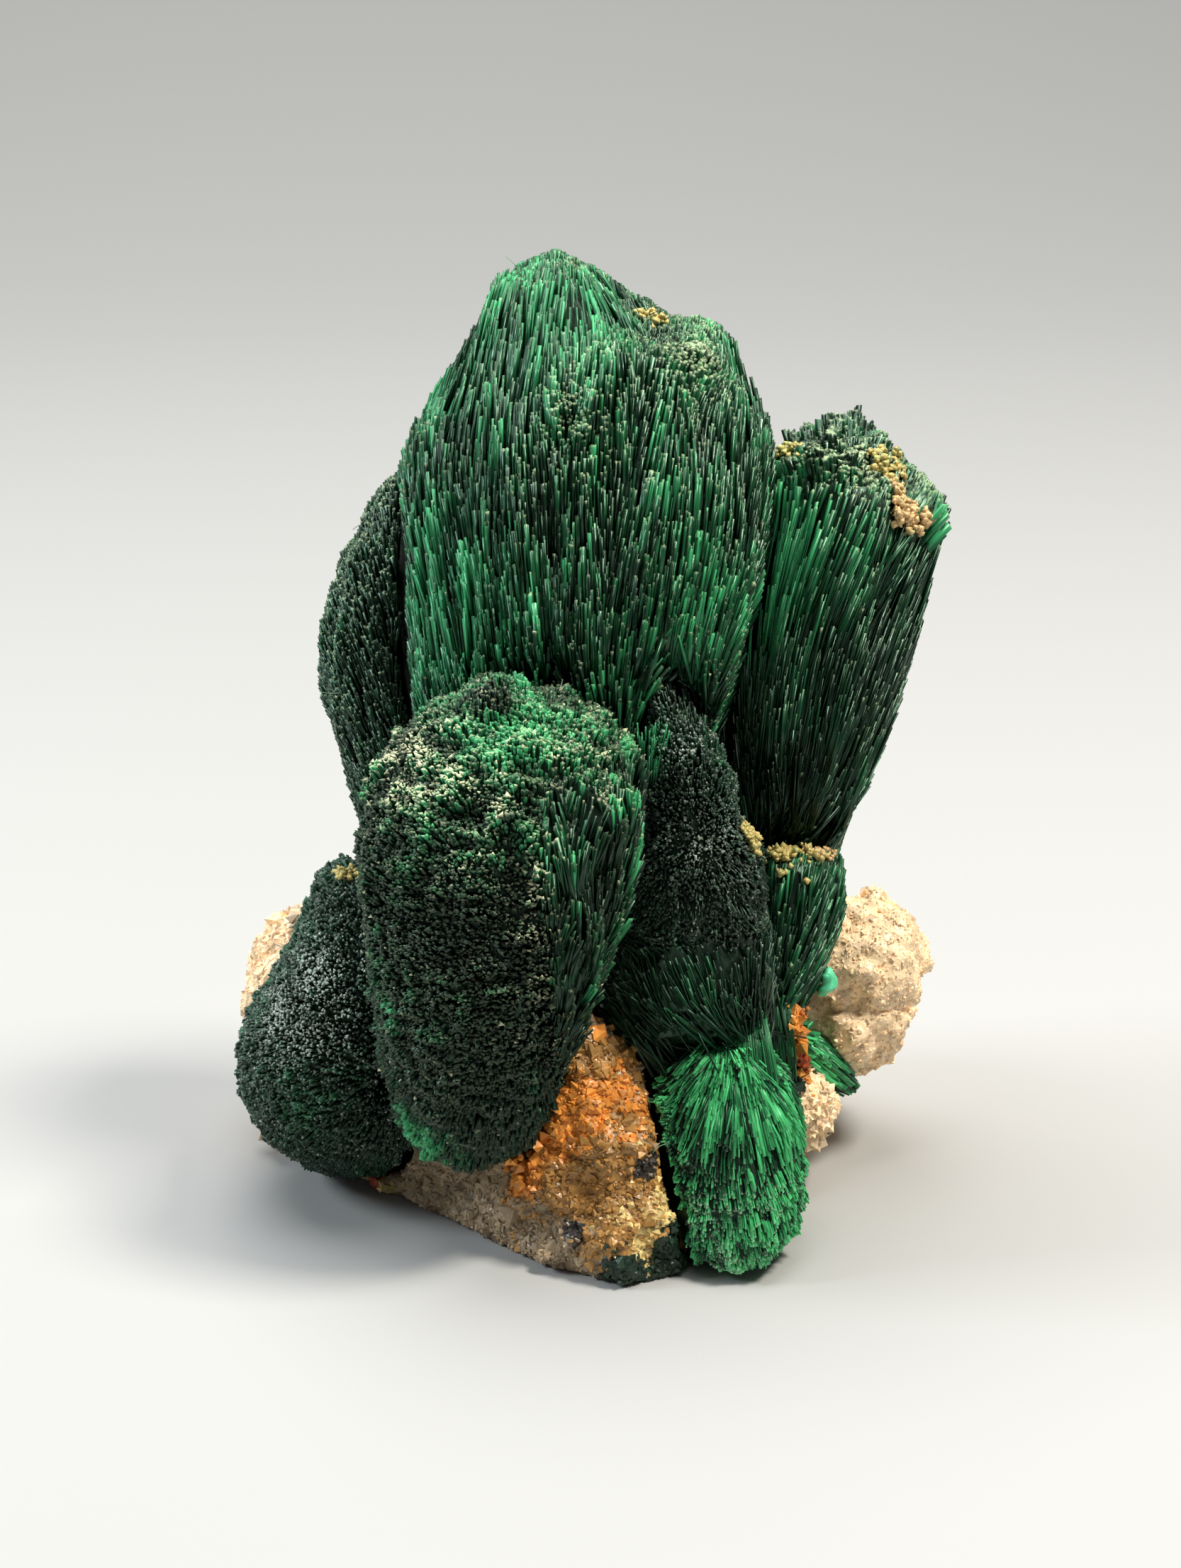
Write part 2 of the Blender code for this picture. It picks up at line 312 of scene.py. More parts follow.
def directions(places, facing, habit):
    """Each fibre's direction: out from the heart where fibres stand on end, and from the root where they lie.

    It is flat * sqrt(1 - tilt^2) + facing * tilt, where flat is the direction's part along the skin. The tilt
    goes down to the lie tilt by the share lie, but not where the fibres come straight out of the skin.
    """
    fan = places - np.array(habit.root)
    if habit.upward:
        fan[:, 2] = np.maximum(fan[:, 2], habit.upward * np.linalg.norm(fan[:, :2], axis=1))
    fan = unit(fan)
    if habit.lean:
        way, low, high = habit.lean
        fan = unit(fan + np.array(way) * step(places[:, 2], low, high)[:, None])
    lie = habit.lie(places)
    if habit.heart:
        fan = unit(fan * lie[:, None] + unit(places - np.array(habit.heart)) * (1 - lie)[:, None])
    out = (fan * facing).sum(1)
    lie = lie * step(out, UNCOMBED, COMBED)
    flat = unit(fan - facing * out[:, None])
    standing = np.maximum(out, habit.least_tilt)
    tilt = (1 - lie) * standing + lie * np.minimum(standing, habit.lie_tilt)
    return flat * np.sqrt(1 - tilt**2)[:, None] + facing * tilt[:, None]


def relief(places, habit, seed, flute):
    """Height of the flutes, which fan out from the root, plus the ripples where fibres stand on end."""
    fan = unit(places - np.array(habit.root))
    flutes = hills(fan * FAN_REACH, habit.flute_size, seed) * flute
    ripples = hills(places * RIPPLE_SQUASH, habit.ripple_size, seed + 1) * habit.ripple
    return flutes + ripples * (1 - habit.lie(places))


def scatter(points, quads, normals, density, rng):
    """Even random places on the quads: a stratified draw by area times density, then a place in each."""
    a, b, c, d = (points[quads[:, k]] for k in range(4))
    area = np.linalg.norm(np.cross(c - a, d - b), axis=1) / 2
    total = np.cumsum(area * density)
    count = int(total[-1])
    which = np.searchsorted(total, (np.arange(count) + rng.random(count)) / count * total[-1])
    u, v = rng.random((2, count, 1))
    weights = np.stack([(1 - u) * (1 - v), u * (1 - v), u * v, (1 - u) * v], 1)
    places = (points[quads[which]] * weights).sum(1)
    return places, unit((normals[quads[which]] * weights).sum(1))


def planted(name, points, quads, normals, habit, rng):
    """Places for fibres, with the skin's normals there.

    The density is cover / (width * what shows of the width and of the bare length, seen along the normal).
    """
    middles = points[quads].mean(1)
    facing = unit(normals[quads].mean(1))
    out = (directions(middles, facing, habit) * facing).sum(1)
    width, _, bare = habit.sizes(habit.lie(middles))
    bare = np.minimum(bare, habit.exposed / np.maximum(out, 0.05))
    density = habit.cover / (width * (width * out + bare * np.sqrt(1 - out**2)))
    density *= in_the_open(name, middles, habit.clear)
    return scatter(points, quads, normals, density, rng)


def bundle(places, ways, habit, rng):
    """Each fibre's bundle: the nearest of some seeds, where distance along the fibre counts for less."""
    count = max(8, int(len(places) * habit.bundles))
    seeds = places[rng.choice(len(places), count, replace=False)]
    apart = (places[:, None] - seeds[None]).astype(np.float32)
    along = (apart * ways[:, None].astype(np.float32)).sum(-1)
    return ((apart**2).sum(-1) - (1 - 1 / habit.stretch**2) * along**2).argmin(1), count


def stepped(ways, facing, group, groups, habit, rng):
    """How each tip moves from its place: drops along the fibre, by bundle and by fibre, and a lift outwards.

    The drops are smaller where fibres stand on end, and none passes the deepest point under the skin.
    """
    out = np.clip((ways * facing).sum(1), 0, 1)
    rise = -np.abs(rng.normal(size=groups))[group] * habit.bundle_step
    rise -= np.abs(rng.normal(size=len(ways))) * habit.end_step
    rise *= 1 - (1 - habit.standing_step) * out
    rise = np.maximum(rise, -habit.deepest / np.maximum(out, 0.03))
    lift = rng.normal(size=groups)[group] * habit.bundle_lift * (1 - 0.6 * out)
    return ways * rise[:, None] + facing * (lift + PROUD)[:, None]


def rooted(tips, ways, lengths, points, quads, sunk):
    """The directions, turned where needed so that each fibre's lower end lies under the skin by sunk."""
    skin = BVHTree.FromPolygons(points.tolist(), quads.tolist())
    for _ in range(2):
        feet = tips - ways * lengths[:, None]
        found = [skin.find_nearest(foot) for foot in feet.tolist()]
        near = np.array([tuple(hit[0]) for hit in found])
        facing = np.array([tuple(hit[1]) for hit in found])
        height = ((feet - near) * facing).sum(1)
        feet -= facing * np.maximum(height + sunk, 0)[:, None]
        ways = unit(tips - feet)
    return ways


def prisms(tips, ways, widths, lengths, habit, rng):
    """One prism for each fibre, as points, groups of faces, and the UV places of one prism in its own cell.

    A ring's points are tip + way * back + radius * (flat * cos * across + sin / flat * over), and the radii
    are uneven. The foot's ring is square to the fibre, and the tip's is shifted along it by the slant of its
    cut. Where flat is above 1 the prisms are wider than deep by its square, with the wide way about level.
    """
    count, sides = len(tips), habit.sides
    across = unit(np.cross(ways, rng.normal(size=(count, 3)) + (0, 0, LEVELLING * (habit.flat > 1))))
    over = np.cross(ways, across)
    angles = 2 * np.pi * (np.arange(sides) + rng.random((count, 1))) / sides
    radius = widths[:, None] / 2 * rng.uniform(0.78, 1.22, (count, sides))
    steepness = habit.slant * rng.uniform(0.2, 1.0, (count, 1))
    cut = steepness * np.cos(angles - 2 * np.pi * rng.random((count, 1)))
    rings = [
        tips[:, None]
        + ways[:, None] * back[..., None]
        + across[:, None] * (radius * habit.flat * np.cos(angles))[..., None]
        + over[:, None] * (radius / habit.flat * np.sin(angles))[..., None]
        for back in (-lengths[:, None], cut * widths[:, None] / 2)
    ]
    points = np.stack(rings, 1).reshape(-1, 3)
    first = (np.arange(count) * 2 * sides)[:, None]
    k = np.arange(sides)
    corner = np.stack([k, (k + 1) % sides, (k + 1) % sides + sides, k + sides], -1)
    walls = (first[..., None] + corner).reshape(-1, 4)
    ends = first + sides + k
    feet = first + k[::-1]
    wall_u = np.stack([k, k + 1, k + 1, k], -1) / sides
    walls_uv = np.stack(np.broadcast_arrays(wall_u, (0.0, 0.0, CAP_START, CAP_START)), -1)
    around = 2 * np.pi * k / sides
    disc = np.stack([0.5 + 0.42 * np.cos(around), 0.5 + 0.5 * np.sin(around)], -1)
    ends_uv = disc * (1, 0.96 - CAP_START) + (0, CAP_START + 0.02)
    feet_uv = disc * (1, 0.1) + (0, 0.02)
    return points, (walls, ends, feet), (walls_uv, ends_uv[None], feet_uv[None])


def in_cell(places, shade, tint):
    """UV places inside one fibre's cell, moved to the cell of its shade and tint in the shared chart."""
    column = np.clip((shade * SHADES).astype(int), 0, SHADES - 1)[:, None, None]
    row = tint.astype(int)[:, None, None]
    u = (column + CELL_MARGIN + (1 - 2 * CELL_MARGIN) * places[..., 0]) / SHADES
    v = (row + CELL_MARGIN + (1 - 2 * CELL_MARGIN) * places[..., 1]) / TINTS
    return np.stack([u, v], -1)


def strands(tips, ways, widths, lengths, shade, tint, habit, rng):
    """Prisms with each one's charts moved to the cell of its shade and tint."""
    points, faces, charts = prisms(tips, ways, widths, lengths, habit, rng)
    charts = [np.broadcast_to(chart, (len(tips), *chart.shape)) for chart in charts]
    return points, faces, [in_cell(chart, shade, tint) for chart in charts]


def blades_from(blades, habit, rng):
    """Single strands, each given as its foot, its end, its width and its shade."""
    feet, ends, widths, shade = (np.array(column) for column in zip(*blades))
    along = ends - feet
    lengths = np.linalg.norm(along, axis=1)
    return strands(ends, unit(along), widths, lengths, shade, np.ones(len(feet)), habit, rng)


def lumps(places, sizes, low, high, rng):
    """Small uneven grains: turned octahedra with each corner moved in or out and each axis stretched.

    Returns the points, the triangles of each grain, and their UV triangles between low and high in a cell.
    """
    corners = np.kron(np.eye(3), [[-1.0], [1.0]])
    sides = [(a, b, c) if (a + b + c) % 2 else (a, c, b) for a, b, c in product((0, 1), (2, 3), (4, 5))]
    count = len(places)
    turns = np.linalg.qr(rng.normal(size=(count, 3, 3)))[0]
    turns *= np.sign(np.linalg.det(turns))[:, None, None]
    shapes = corners * rng.uniform(0.72, 1.18, (count, 6, 1)) * rng.uniform(0.75, 1.25, (count, 1, 3))
    points = places[:, None] + np.einsum("nij,nkj->nki", turns, shapes) * sizes[:, None, None]
    faces = (np.arange(count) * len(corners))[:, None, None] + np.array(sides)
    chart = np.array([(0.12, low), (0.88, low), (0.5, high)])
    return points.reshape(-1, 3), faces, np.broadcast_to(chart, (count, len(sides), 3, 2))


def crust_of(patch, places, normals, rng):
    """A patch of crust: small angular grains on the skin, given as centre, radius, count, size and tint."""
    centre, radius, count, size, tint = patch
    away = np.linalg.norm(places - np.array(centre), axis=1) / rng.uniform(0.5, 1.2, len(places))
    near = np.argsort(away)[: max(1, int((away < radius).sum()))]
    picked = near[rng.integers(0, len(near), count)]
    sizes = size * rng.uniform(0.5, 1.1, count)
    spots = places[picked] + rng.normal(size=(count, 3)) * 0.18 + normals[picked] * (sizes * 0.3)[:, None]
    points, faces, chart = lumps(spots, sizes, 0.87, 0.97, rng)
    return points, [faces], [in_cell(chart, rng.uniform(0.2, 0.99, count), np.full(count, tint))]


def hairs_on(places, normals, count, rng):
    """Stray fibres as fine as hairs: thin tubes along start + aim * reach * t + curl * reach * t^2 / 2."""
    roots = rng.integers(0, len(places), count)
    aim = unit(normals[roots] * 0.5 + rng.normal(size=(count, 3)) * 0.7)
    curl = rng.normal(size=(count, 3)) * 0.6 - normals[roots] * 0.5
    reach = rng.uniform(0.9, 2.3, (count, 1))
    steps = np.linspace(0, 1, HAIR_STEPS)[:, None, None]
    line = places[roots] + aim * reach * steps + curl * reach * 0.5 * steps**2
    across = unit(np.cross(aim, rng.normal(size=(count, 3))))
    over = np.cross(aim, across)
    k = np.arange(HAIR_SIDES)
    angles = 2 * np.pi * k / HAIR_SIDES
    rings = line[:, :, None] + HAIR_WIDTH / 2 * (
        across[None, :, None] * np.cos(angles)[:, None] + over[None, :, None] * np.sin(angles)[:, None]
    )
    points = rings.transpose(1, 0, 2, 3).reshape(-1, 3)
    first = (np.arange(count) * HAIR_STEPS * HAIR_SIDES)[:, None]
    ring = (np.arange(HAIR_STEPS - 1) * HAIR_SIDES)[:, None, None]
    beside = (k + 1) % HAIR_SIDES
    corner = np.stack([k, beside, beside + HAIR_SIDES, k + HAIR_SIDES], -1)
    walls = (first[..., None, None] + ring + corner).reshape(count, -1, 4)
    ends = np.stack([first + k[::-1], first + (HAIR_STEPS - 1) * HAIR_SIDES + k], 1)
    square = np.array([(0.1, 0.88), (0.9, 0.88), (0.9, 0.96), (0.1, 0.96)])
    charts = [np.broadcast_to(square, (*walls.shape, 2)), np.broadcast_to(square[:3], (count, 2, 3, 2))]
    shade = np.full(count, HAIR_SHADE)
    return points, [walls, ends], [in_cell(chart, shade, np.full(count, HAIR_TINT)) for chart in charts]


def joined(parts):
    """Puts parts of (points, face arrays, chart arrays) together as one set."""
    faces, charts, start = [], [], 0
    for points, part_faces, part_charts in parts:
        for corners, chart in zip(part_faces, part_charts):
            faces.append(corners.reshape(-1, corners.shape[-1]).astype(np.int64) + start)
            charts.append(chart.reshape(-1, *chart.shape[-2:]))
        start += len(points)
    return np.concatenate([part[0] for part in parts]), faces, charts


def core_of(points, quads, normals, depth):
    """The core: the skin moved in by the depth, all of one near black shade painted as the shadow between
    fibres.
    """
    square = np.array([(0.1, 0.05), (0.9, 0.05), (0.9, 0.25), (0.1, 0.25)])
    chart = in_cell(square[None, None], np.full(1, CORE_PAINTED_SHADOW), np.zeros(1))[0]
    return points - normals * depth, [quads], [np.broadcast_to(chart, (len(quads), 4, 2))]


def spray(name, surface, seed, habit, colour, blades=(), crust=(), hairs=3):
    """Builds one spray, a core painted near black as shadow with fibres all over its open skin, and stands it
    in for its CAD node.
    """
    rng = np.random.default_rng(seed)
    points, quads, normals = skin_of(name, habit.voxel, habit.rounds)
    flute = habit.flute + habit.ribs * habit.lie(points)
    points = points + normals * relief(points, habit, seed, flute)[:, None]
    points[:, 2] += glow(points, habit.knobs)
    normals = normals_of(points, quads)
    places, facing = planted(name, points, quads, normals, habit, rng)
    ways = directions(places, facing, habit)
    group, groups = bundle(places, ways, habit, rng)
    bundle_turn = rng.normal(size=(groups, 3))[group] * habit.bundle_splay
    ways = unit(ways + bundle_turn + rng.normal(size=(len(ways), 3)) * SPLAY)
    tips = places + stepped(ways, facing, group, groups, habit, rng)
    widths, lengths, _ = habit.sizes(habit.lie(places))
    widths = widths * np.exp(rng.normal(size=len(tips)) * habit.uneven).clip(0.5, 2.0)
    lengths = lengths * rng.uniform(0.8, 1.2, len(tips))
    turned = rooted(tips, ways, lengths, points, quads, habit.sunk)
    kept = (turned * ways).sum(1) > LEAST_AGREEMENT
    tips, ways, widths, lengths, places, facing, group = (
        column[kept] for column in (tips, turned, widths, lengths, places, facing, group)
    )
    # The flutes' crests are painted lighter and their grooves darker: painted light and shade.
    heights = relief(places, habit, seed, 0.5)
    shade, tint = colour(tips, facing, heights * habit.crest_painted_light, rng, group, groups)
    parts = [
        core_of(points, quads, normals, habit.core_depth),
        strands(tips, ways, widths, lengths, shade, tint, habit, rng),
    ]
    if blades:
        parts.append(blades_from(blades, habit, rng))
    parts += [crust_of(patch, places, facing, rng) for patch in crust]
    parts.append(hairs_on(places, facing, hairs, rng))
    everything, faces, charts = joined(parts)
    everything[:, 2] = np.maximum(everything[:, 2], FLOOR_GAP)
    made = new_mesh(name + "_fibres", everything, faces, charts)
    made.data.materials.append(surface)
    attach(made, "root")
    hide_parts(name)


class Socket:
    """A shader value that can be worked with in plain arithmetic; each operation adds one Math node."""

    def __init__(self, tree, link):
        self.tree = tree
        self.link = link

    def math(self, operation, *others):
        return node(self.tree, "Math", {"operation": operation}, self, *others)[0]

    def __add__(self, other):
        return self.math("ADD", other)

    def __sub__(self, other):
        return self.math("SUBTRACT", other)

    def __mul__(self, other):
        return self.math("MULTIPLY", other)

    def __rsub__(self, other):
        return node(self.tree, "Math", {"operation": "SUBTRACT"}, other, self)[0]

    __radd__ = __add__
    __rmul__ = __mul__

    def clamp(self):
        return self.math("MINIMUM", 1.0).math("MAXIMUM", 0.0)


def node(tree, kind, settings=None, *values, **named):
    """Adds a shader node, makes its settings, then gives its sockets values or links, by place or by name."""
    made = tree.nodes.new("ShaderNode" + kind)
    for name, value in (settings or {}).items():
        if name == "stops":
            while len(made.color_ramp.elements) < len(value):
                made.color_ramp.elements.new(1.0)
            for stop, (place, colour) in zip(made.color_ramp.elements, value):
                stop.position = place
                stop.color = (*colour, 1.0)
        elif name == "interpolation":
            made.color_ramp.interpolation = value
        else:
            setattr(made, name, value)
    inputs = list(enumerate(values))
    inputs += [(name.replace("_", " "), value) for name, value in named.items()]
    for place, value in inputs:
        if isinstance(value, Socket):
            tree.links.new(value.link, made.inputs[place])
        elif value is not None:
            made.inputs[place].default_value = value
    return [Socket(tree, output) for output in made.outputs]


def ramp(tree, stops, place, interpolation="LINEAR"):
    """The colour at a place on a row of stops."""
    return node(tree, "ValToRGB", {"stops": stops, "interpolation": interpolation}, place)[0]


def mix(tree, share, one, other, how="MIX"):
    """Blends two colours, which are the Mix node's sockets 6 and 7."""
    settings = {"data_type": "RGBA", "blend_type": how}
    return node(tree, "Mix", settings, share, None, None, None, None, None, one, other)[2]


def dimmed(tree, colour, light):
    """A colour times a value."""
    return mix(tree, 1.0, colour, node(tree, "CombineColor", None, light, light, light)[0], "MULTIPLY")


def chart_cells(tree):
    """The place in the shared chart, counted in cells across and up."""
    u, v, _ = node(tree, "SeparateXYZ", None, node(tree, "UVMap", {"uv_map": "OFBake"})[0])
    return u * float(SHADES), v * float(TINTS)


def fibre_finish(name, stops, roughness, pale):
    """Silky fibres, coloured by their cell in the chart: shade across, tint up, the fibre's length inside.

    The colour is ramp(shade + grain) * (0.35 + 0.95 * along), painted darker towards the fibre's foot as
    painted shade, and the ends turn to the tint's own colour, which for the pale tints is partly pale ends
    and partly painted highlight.
    """
    made, tree, shader = new_material(name, IOR=1.6, Specular_Tint=(0.62, 1.0, 0.74, 1.0))
    cell_u, cell_v = chart_cells(tree)
    column = cell_u.math("FLOOR")
    row = cell_v.math("FLOOR")
    across = cell_u - column
    along = cell_v - row
    grain_place = node(tree, "CombineXYZ", None, across * 9.0, along * 1.6, column * 3.7 + row * 1.3)[0]
    grain = node(tree, "TexNoise", None, Vector=grain_place, Scale=1.0, Detail=3.0)[0]
    shade = (column * (1.0 / (SHADES - 1)) + (grain - 0.5) * 0.8).clamp()
    # Each fibre is painted darker towards its foot: painted shade where the fibres crowd.
    body = dimmed(tree, ramp(tree, stops, shade), along * 0.95 + 0.35)
    crusts = zip((IRON_TINT, YELLOW_TINT, PEACH_TINT), (CRUST_IRON, CRUST_YELLOW, CRUST_PEACH))
    # Ends of the pale tints turn to the pale colour: partly the fibres' own pale ends and partly painted
    # highlight.
    end_colours = [(0.0, pale)] + [((tint - 0.5) / TINTS, colour) for tint, colour in crusts]
    end_colour = ramp(tree, end_colours, row * (1.0 / TINTS), "CONSTANT")
    paleness = [(0.0, (0.06,) * 3), (0.14, (0.25,) * 3), (0.5, (1.0,) * 3)]
    whiten = node(tree, "RGBToBW", None, ramp(tree, paleness, row * (1.0 / TINTS)))[0]
    near_end = ((along - (CAP_START - 0.07)) * 12.0).clamp()
    colour = mix(tree, (near_end * (grain * 1.6 - 0.1).clamp() * whiten).clamp(), body, end_colour)
    tree.links.new(colour.link, shader.inputs["Base Color"])
    rough = grain * 0.25 + (roughness - 0.12)
    tree.links.new(rough.link, shader.inputs["Roughness"])
    bump = node(tree, "Bump", None, Strength=0.5, Distance=0.00008, Height=grain)[0]
    tree.links.new(bump.link, shader.inputs["Normal"])
    return made


def coloured(bright, spread, pale_end_and_highlight_spots=(), painted_top_highlight=0.0, pale=0.05, tone_and_painted_light_spots=(), painted_glint_share=0.03):
    """Picks each fibre's shade and tint: random by fibre and bundle, brighter and paler near the spots.

    The spots are partly the fibres' own tone and pale ends and partly painted highlight and shade. Ends that
    face up are painted paler as a painted highlight, fibres on the flutes' crests lighter and in the grooves
    darker as painted light and shade, and a share of ends are painted glints.
    """

    def pick(places, normals, relief, rng, group, groups):
        count = len(places)
        chance = MOTTLE * rng.normal(size=count) + MOTTLE * rng.normal(size=groups)[group]
        # relief is the flutes' height times the crest light: painted light on the crests and painted shade in
        # the grooves.
        shade = bright + relief + spread * chance
        # Spots with a plus strength make fibres lighter and those with a minus strength darker: partly their
        # own tone and partly painted highlight and painted shadow.
        shade += 0.16 * hills(places, 14.0, 5) + glow(places, tone_and_painted_light_spots)
        # Ends that face up are painted paler, a painted highlight from the light overhead; near the pale
        # spots they are paler too, partly pale ends and partly painted highlight.
        paleness = pale + painted_top_highlight * step(normals[:, 2], 0.1, 0.8) + glow(places, pale_end_and_highlight_spots)
        # Ends on the flutes' crests are painted paler, and those in the grooves less pale: painted highlight
        # and shade.
        paleness *= (0.45 + 0.75 * step(hills(places, 5.0, 9), -0.5, 0.8)) * np.clip(1 + 4 * relief, 0.2, 2.0)
        tint = np.clip(rng.poisson(np.maximum(paleness, 0) * 4.0), 0, PALEST_TINT)
        # A share of the ends are set to the palest tint at random: painted glints.
        tint = np.where(rng.random(count) < painted_glint_share, PALEST_TINT, tint)
        return np.clip(shade, 0, 0.999), tint

    return pick


green_stops = [(0.0, DARK_GREEN), (0.38, DEEP_GREEN), (0.72, EMERALD), (1.0, BRIGHT_EMERALD)]
silky_green = fibre_finish("silky emerald fibres", green_stops, 0.31, (0.56, 0.70, 0.40))
TALL_STANDING = [
    ((-1.4, -6.5, 70.4), 3.6, 0.8), ((9.5, -3.2, 74.0), 4.5, 0.8), ((0.0, -8.5, 46.5), 4.0, 0.15),
]
tall_habit = Habit(
    root=(-1.5, 4.0, -4.0), heart=(-1.0, 4.0, 60.0), standing=(0.38, 3.0, 1.3), lying=(0.27, 4.6, 2.1),
    lie=lambda p: 0.97 * np.clip(1 - glow(p, TALL_STANDING), 0, 1), lie_tilt=0.11, least_tilt=0.08,
    cover=2.26, exposed=0.42, clear=0.45, core_depth=0.9, flute=0.5, flute_size=8.0, slant=0.5,
    bundles=0.13, stretch=6.0, bundle_step=1.3, bundle_lift=0.26,
)
# Its bright spots are partly the fibres' own tone and partly painted light on the spray's lit left side and
# top.
tall_colour = coloured(
    0.44, 0.20, pale=0.14, tone_and_painted_light_spots=[((-12.0, -3.0, 54.0), 7.0, 0.2), ((-3, -1, 77), 7.0, 0.22)],
    pale_end_and_highlight_spots=[((-1.4, -6.5, 70.4), 4.2, 1.3), ((9.5, -3.2, 74.0), 4.5, 1.1), ((6.1, -6.7, 66.9), 5.0, 0.45),
                ((-15, 2.5, 64), 4.0, 0.5), ((3.9, -8, 50), 5.0, 0.2)],
)
tall_crust = [((5.0, 1.8, 76.7), 1.4, 42, 0.35, YELLOW_TINT)]
spray("tall_spray", silky_green, 11, tall_habit, tall_colour, crust=tall_crust, hairs=14)

# The right column: long fine malachite fibres, almost parallel, dark and silky, that bend outwards near the
# top and come from a root low in the rock. Its cap is rough, with ends painted pale where they face up,
# partly pale ends and partly painted highlight, and patches of yellow and peach crust, and a split shard juts
# out at its right.
SHARD = [
    ((26.6, 5.0, 55.6), (30.0, 3.6, 60.4), 0.8, 0.9),
    ((26.8, 4.9, 55.0), (30.3, 3.4, 59.6), 0.9, 0.8),
    ((27.0, 4.8, 54.6), (30.4, 3.4, 58.7), 0.8, 0.95),
    ((27.2, 4.8, 54.2), (30.1, 3.6, 57.8), 0.7, 0.7),
]
column_habit = Habit(
    root=(14.0, 3.0, 4.0), heart=(21.0, 7.0, 52.0), standing=(0.5, 2.6, 1.0), lying=(0.235, 6.5, 4.0),
    lean=((0.26, 0.0, 0.0), 44.0, 62.0), lie=lambda p: step(p[:, 2], 64.5, 60.5), lie_tilt=0.06,
    least_tilt=0.05, cover=2.6, sunk=0.3, core_depth=0.5, flute=0.5, ripple=0.9, ripple_size=1.4, slant=0.6,
    bundles=0.08, stretch=10.0, bundle_step=1.6, bundle_lift=0.22, end_step=0.4, standing_step=0.06,
)
column_colour = coloured(
    0.20, 0.16, [((23, 4, 63.5), 6.0, 1.2)], painted_top_highlight=0.5,
    tone_and_painted_light_spots=[((15.0, 3.5, 58.5), 5.5, 1.1), ((14, 5, 51), 4.5, 0.6)],
)
column_crust = [
    ((16.7, 8.2, 63.8), 1.3, 78, 0.36, YELLOW_TINT),
    ((25.3, 5.6, 63.5), 2.0, 102, 0.4, YELLOW_TINT),
    ((27.5, 2.6, 59.8), 1.9, 180, 0.42, PEACH_TINT),
    ((26.0, 4.2, 62.5), 1.2, 54, 0.35, PEACH_TINT),
]
spray("right_column_spray", silky_green, 12, column_habit, column_colour, SHARD, column_crust)

# The back left spray: a dark lobe of short malachite fibres that grew on the rock behind the tall spray. They
# stand nearly on end, and their ends are cream along the outer edge and paler where they face up, partly pale
# ends and partly painted highlight.
back_habit = Habit(
    root=(-8.0, 9.0, 10.0), standing=(0.29, 2.6, 0.9), lie=lambda p: np.full(len(p), 0.1),
    cover=1.75, flute=0.4, slant=0.5, bundles=0.12, stretch=3.0, bundle_step=0.5,
)
back_colour = coloured(
    0.15, 0.15, [((-21, 5, 41), 5.0, 0.7), ((-22, 7, 50), 6.0, 0.6), ((-19, 6, 57), 5.0, 0.8)],
    painted_top_highlight=0.2, pale=0.15,
)
spray("back_left_spray", silky_green, 13, back_habit, back_colour)

# The front spray: a big rounded lobe of coarse blunt malachite fibres that stand out from its heart. Its
# crown, which has a small knob, is painted lighter with cream ends, partly pale ends and partly painted
# highlight, and its face is painted darker down to near black, partly its own tone and partly painted shade.
# On its right flank they lie in ribs that run up from the root.
coarse_green = fibre_finish("coarse green fibres", green_stops, 0.36, (0.90, 0.88, 0.55))
front_habit = Habit(
    root=(-5.0, -8.0, -8.0), heart=(-6.0, -5.0, 24.0), standing=(0.30, 2.2, 0.8), lying=(0.26, 4.4, 1.9),
    lie=lambda p: step(p[:, 0] + 0.06 * p[:, 2], -2.4, -0.2) * step(p[:, 2], 47.0, 41.0),
    lie_tilt=0.08, least_tilt=0.06, cover=1.75, voxel=0.75, rounds=4,
    knobs=(((-8.2, -16.0, 47.4), 1.5, 4.2),), flute_size=5.0, ribs=0.4, ripple=0.4, crest_painted_light=0.5,
    uneven=0.35, flat=1.2, slant=0.8,
    bundles=0.12, stretch=2.5, bundle_step=0.45, bundle_lift=0.2, standing_step=0.6,
)
front_colour = coloured(
    0.12, 0.2, painted_top_highlight=0.12, pale=0.01, painted_glint_share=0.008,
    pale_end_and_highlight_spots=[((-11.9, -20.6, 43.7), 4.5, 0.7), ((-15.6, -18, 43.4), 3.5, 0.5), ((-3, -22, 40), 5.0, 0.15),
                ((-1.5, -18, 45), 4.0, 0.3), ((-4.3, -23.7, 36.0), 2.2, 0.4), ((-3.9, -23.6, 31.8), 1.5, 0.6),
                ((-3.5, -23.2, 27.0), 1.4, 0.6), ((-2.9, -22.0, 22.6), 1.4, 0.5)],
    tone_and_painted_light_spots=[((-6.0, -17.0, 47.5), 6.5, 0.65), ((-9, -20, 42), 8.0, 0.35), ((-5, -19.5, 11), 5.0, -0.35),
                  ((-8.2, -16.0, 50.6), 2.2, -1.2), ((1, -14, 42), 5.0, 0.25),
                  ((-14.2, -18.7, 11.7), 2.6, 0.8), ((-9, -24, 29), 8.0, -0.3), ((-9, -22, 17), 8.0, -0.3)],
)
spray("front_spray", coarse_green, 14, front_habit, front_colour)

